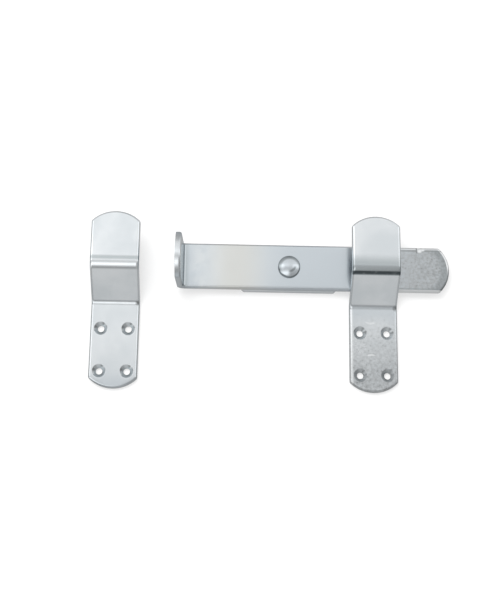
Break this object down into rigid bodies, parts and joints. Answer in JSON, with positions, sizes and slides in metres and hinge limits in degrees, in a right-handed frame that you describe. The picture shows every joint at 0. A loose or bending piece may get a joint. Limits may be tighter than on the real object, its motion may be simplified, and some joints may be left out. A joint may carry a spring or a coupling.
{
  "type": "kick over door bolt",
  "caption": "Zinc plated kick over door bolt: a flat arm with a folded kick tab turns on a riveted back plate and drops into a hooked keep, with a matching keep for the other side.",
  "frame": {"origin": "on the pivot's axis, in the fixing plane of the pivot plate, which is the face of the door", "axes": "+Z away from the door, +Y up the door, +X from the kick tab towards the tip of the arm; the set lies on its fixing faces"},
  "size_m": [0.299, 0.1435, 0.0504],
  "materials": {
    "arm_zinc": "bright zinc plate, satin, with a scuffed tip",
    "plate_zinc": "bright zinc plate, satin",
    "rivet_zinc": "bright zinc plate, polished by its set",
    "keep_zinc": "bright zinc plate, satin"
  },
  "bodies": {
    "fixings": {"pivot_plate": "plate_zinc", "pivot_rivet": "rivet_zinc", "door_keep": "keep_zinc", "frame_keep": "keep_zinc"},
    "arm": {"kick_arm": "arm_zinc"}
  },
  "joints": [
    {"name": "arm_swing", "type": "hinge", "parent": "fixings", "child": "arm", "pos_m": [0, 0, 0], "axis": [0, 0, 1], "range_deg": [0, 128]}
  ]
}
